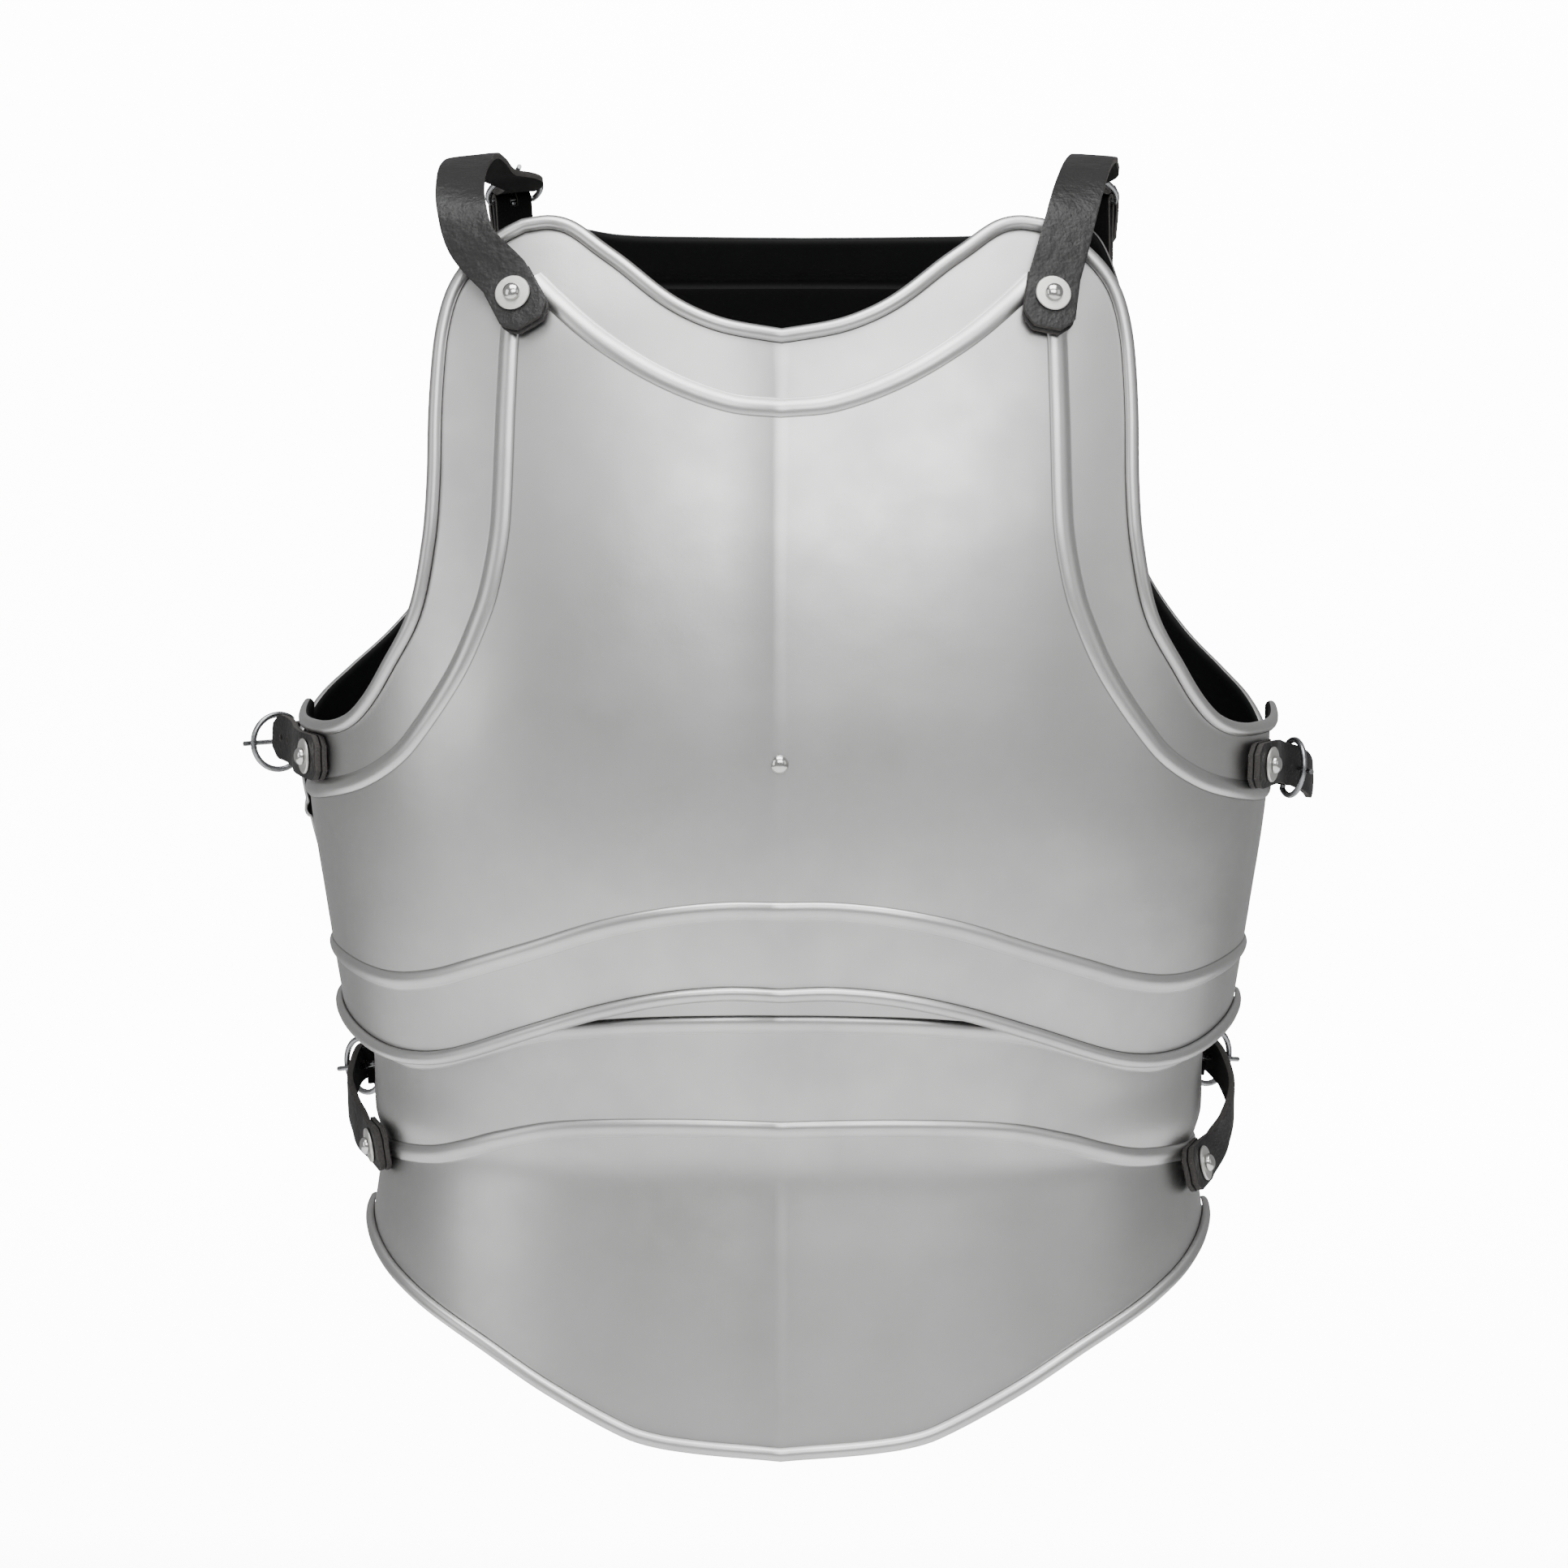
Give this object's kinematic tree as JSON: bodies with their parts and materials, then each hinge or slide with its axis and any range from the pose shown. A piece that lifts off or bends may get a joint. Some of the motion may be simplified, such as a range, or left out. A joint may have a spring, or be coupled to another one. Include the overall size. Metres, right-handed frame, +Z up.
{
  "type": "breastplate",
  "caption": "Steel body armour: beaded chest plate over a skirted belly plate, and a back plate, joined at shoulders, sides and waist by riveted leather straps with wire buckles.",
  "frame": {"origin": "mount shoulder_rest: between the two shoulder straps, level with the crown of their arches, half way from front to back", "axes": "+Z up along the body, -Y towards the chest side (front), +X towards the viewer's right"},
  "size_m": [0.4668, 0.2727, 0.5408],
  "materials": {
    "plate_steel": "satin, finely tumbled",
    "rivet_steel": "polished",
    "wire_steel": "grey, drawn",
    "washer_zinc": "matt zinc",
    "strap_leather": "black, grained",
    "chape_leather": "black, grained"
  },
  "bodies": {
    "root": {"breastplate": "plate_steel", "plackart": "plate_steel", "backplate": "plate_steel", "centre_rivet": "rivet_steel", "strap_shoulder_left": "strap_leather", "backing_shoulder_left": "strap_leather", "washer_shoulder_left": "washer_zinc", "rivet_shoulder_left": "rivet_steel", "chape_shoulder_left": "chape_leather", "buckle_shoulder_left": "wire_steel", "prong_shoulder_left": "wire_steel", "back_rivet_shoulder_left": "rivet_steel", "strap_shoulder_right": "strap_leather", "backing_shoulder_right": "strap_leather", "washer_shoulder_right": "washer_zinc", "rivet_shoulder_right": "rivet_steel", "chape_shoulder_right": "chape_leather", "buckle_shoulder_right": "wire_steel", "prong_shoulder_right": "wire_steel", "back_rivet_shoulder_right": "rivet_steel", "strap_side_left": "strap_leather", "backing_side_left": "strap_leather", "washer_side_left": "washer_zinc", "rivet_side_left": "rivet_steel", "chape_side_left": "chape_leather", "buckle_side_left": "wire_steel", "prong_side_left": "wire_steel", "back_rivet_side_left": "rivet_steel", "strap_side_right": "strap_leather", "backing_side_right": "strap_leather", "washer_side_right": "washer_zinc", "rivet_side_right": "rivet_steel", "chape_side_right": "chape_leather", "buckle_side_right": "wire_steel", "prong_side_right": "wire_steel", "back_rivet_side_right": "rivet_steel", "strap_waist_left": "strap_leather", "backing_waist_left": "strap_leather", "washer_waist_left": "washer_zinc", "rivet_waist_left": "rivet_steel", "chape_waist_left": "chape_leather", "buckle_waist_left": "wire_steel", "prong_waist_left": "wire_steel", "back_rivet_waist_left": "rivet_steel", "strap_waist_right": "strap_leather", "backing_waist_right": "strap_leather", "washer_waist_right": "washer_zinc", "rivet_waist_right": "rivet_steel", "chape_waist_right": "chape_leather", "buckle_waist_right": "wire_steel", "prong_waist_right": "wire_steel", "back_rivet_waist_right": "rivet_steel"}
  },
  "joints": []
}
